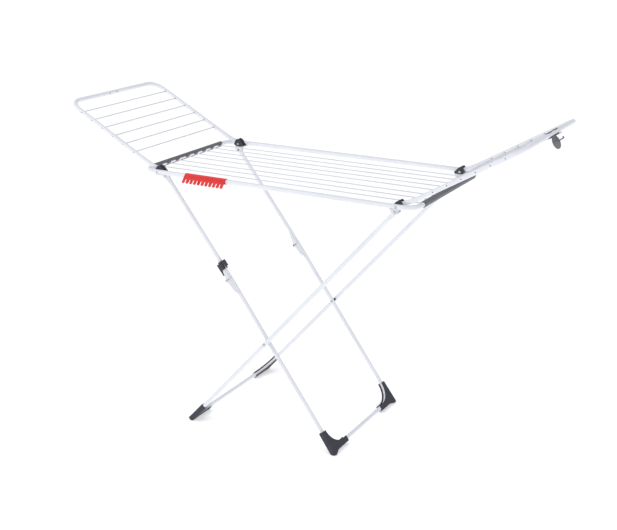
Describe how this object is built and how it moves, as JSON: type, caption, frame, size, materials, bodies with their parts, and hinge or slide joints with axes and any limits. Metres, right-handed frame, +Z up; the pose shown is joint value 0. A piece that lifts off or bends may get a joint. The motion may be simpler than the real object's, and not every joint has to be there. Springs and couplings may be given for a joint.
{
  "type": "folding clothes drying rack",
  "caption": "Free-standing folding laundry rack: a rod-filled centre frame with two hinged wings on crossing leg frames that fold flat through a knee.",
  "frame": {"origin": "on the floor, midway between the wing hinges along X and midway between the rails along Y", "axes": "+X along the rack towards the right wing, +Y across it to the far rail, +Z up"},
  "size_m": [1.7358, 0.5686, 1.162],
  "materials": {
    "tube_enamel": "smooth satin white powder coat on round steel tube",
    "rod_enamel": "white dipped coating on steel wire",
    "bracket_enamel": "white powder coat on pressed sheet steel",
    "rivet_steel": "zinc-plated rivet heads",
    "hinge_plastic": "moulded near-black plastic with fine grain",
    "foot_plastic": "moulded dark grey plastic with fine grain",
    "strip_plastic": "extruded mid-grey plastic",
    "holder_plastic": "moulded grey plastic",
    "red_plastic": "moulded red plastic, slightly glossy",
    "pad_rubber": "soft orange non-slip rubber"
  },
  "bodies": {
    "frame": {"rail_near": "tube_enamel", "rail_far": "tube_enamel", "end_bar_left": "tube_enamel", "end_bar_right": "tube_enamel", "end_strip_left": "strip_plastic", "end_strip_right": "strip_plastic", "frame_rod_1": "rod_enamel", "frame_rod_2": "rod_enamel", "frame_rod_3": "rod_enamel", "frame_rod_4": "rod_enamel", "frame_rod_5": "rod_enamel", "frame_rod_6": "rod_enamel", "frame_rod_7": "rod_enamel", "frame_rod_8": "rod_enamel", "wing_bracket_left_near": "hinge_plastic", "wing_bracket_left_far": "hinge_plastic", "wing_bracket_right_near": "hinge_plastic", "wing_bracket_right_far": "hinge_plastic", "wing_hinge_rivets": "rivet_steel", "leg_bracket_left_near": "bracket_enamel", "leg_bracket_left_far": "bracket_enamel", "leg_bracket_right_near": "bracket_enamel", "leg_bracket_right_far": "bracket_enamel", "leg_pivot_rivets": "rivet_steel", "bracket_spacer_rivets": "rivet_steel"},
    "wing_left": {"wing_left_arm_near": "tube_enamel", "wing_left_arm_far": "tube_enamel", "wing_left_end_bar": "tube_enamel", "wing_left_rods": "rod_enamel"},
    "wing_right": {"wing_right_arm_near": "tube_enamel", "wing_right_arm_far": "tube_enamel", "wing_right_end_bar": "tube_enamel", "wing_right_rods": "rod_enamel"},
    "outer_leg": {"outer_leg_arm_near": "tube_enamel", "outer_leg_arm_far": "tube_enamel", "outer_leg_foot_bar": "tube_enamel", "outer_foot_near": "foot_plastic", "outer_foot_far": "foot_plastic", "outer_foot_pads": "pad_rubber", "crossing_bolts": "rivet_steel", "crossing_spacers": "hinge_plastic"},
    "inner_leg_top": {"inner_leg_upper_near": "tube_enamel", "inner_leg_upper_far": "tube_enamel", "knee_ear_near": "bracket_enamel", "knee_ear_far": "bracket_enamel"},
    "inner_leg_bottom": {"inner_leg_arm_near": "tube_enamel", "inner_leg_arm_far": "tube_enamel", "inner_leg_foot_bar": "tube_enamel", "inner_foot_near": "foot_plastic", "inner_foot_far": "foot_plastic", "inner_foot_pads": "pad_rubber", "knee_fork_near": "bracket_enamel", "knee_fork_far": "bracket_enamel", "knee_rivets": "rivet_steel", "crossing_nuts": "rivet_steel"},
    "knee_lock": {"knee_lock": "hinge_plastic"},
    "small_items_clip": {"small_items_clip": "red_plastic"},
    "hanger_holder": {"hanger_holder": "holder_plastic"}
  },
  "joints": [
    {"name": "left_wing_hinge", "type": "hinge", "parent": "frame", "child": "wing_left", "pos_m": [-0.4565, 0, 0.934], "axis": [0, 1, 0], "range_deg": [0, 151.5]},
    {"name": "right_wing_hinge", "type": "hinge", "parent": "frame", "child": "wing_right", "pos_m": [0.4565, 0, 0.934], "axis": [0, -1, 0], "range_deg": [0, 149]},
    {"name": "leg_fold", "type": "hinge", "parent": "frame", "child": "outer_leg", "pos_m": [0.448, 0, 0.914], "axis": [0, 1, 0], "range_deg": [0, 45.52]},
    {"name": "inner_leg_pivot", "type": "hinge", "parent": "frame", "child": "inner_leg_top", "pos_m": [-0.448, 0, 0.914], "axis": [0, -1, 0], "range_deg": [0, 52.82]},
    {"name": "knee_pivot", "type": "hinge", "parent": "inner_leg_top", "child": "inner_leg_bottom", "pos_m": [-0.20462, 0, 0.5671], "axis": [0, 1, 0], "range_deg": [0, 178.59]},
    {"name": "knee_lock_slide", "type": "slide", "parent": "inner_leg_top", "child": "knee_lock", "axis": [-0.6097, 0, 0.7926], "range_m": [0, 0.022]},
    {"name": "clip_slide", "type": "slide", "parent": "frame", "child": "small_items_clip", "axis": [1, 0, 0], "range_m": [-0.06, 0.5]},
    {"name": "holder_swing", "type": "hinge", "parent": "wing_right", "child": "hanger_holder", "pos_m": [0.84661, 0, 1.1523], "axis": [0, 1, 0], "range_deg": [-60, 60]}
  ],
  "couplings": [
    {"joint": "inner_leg_pivot", "follows": "leg_fold", "ratio": 1.1602},
    {"joint": "knee_pivot", "follows": "leg_fold", "ratio": 3.9232}
  ]
}
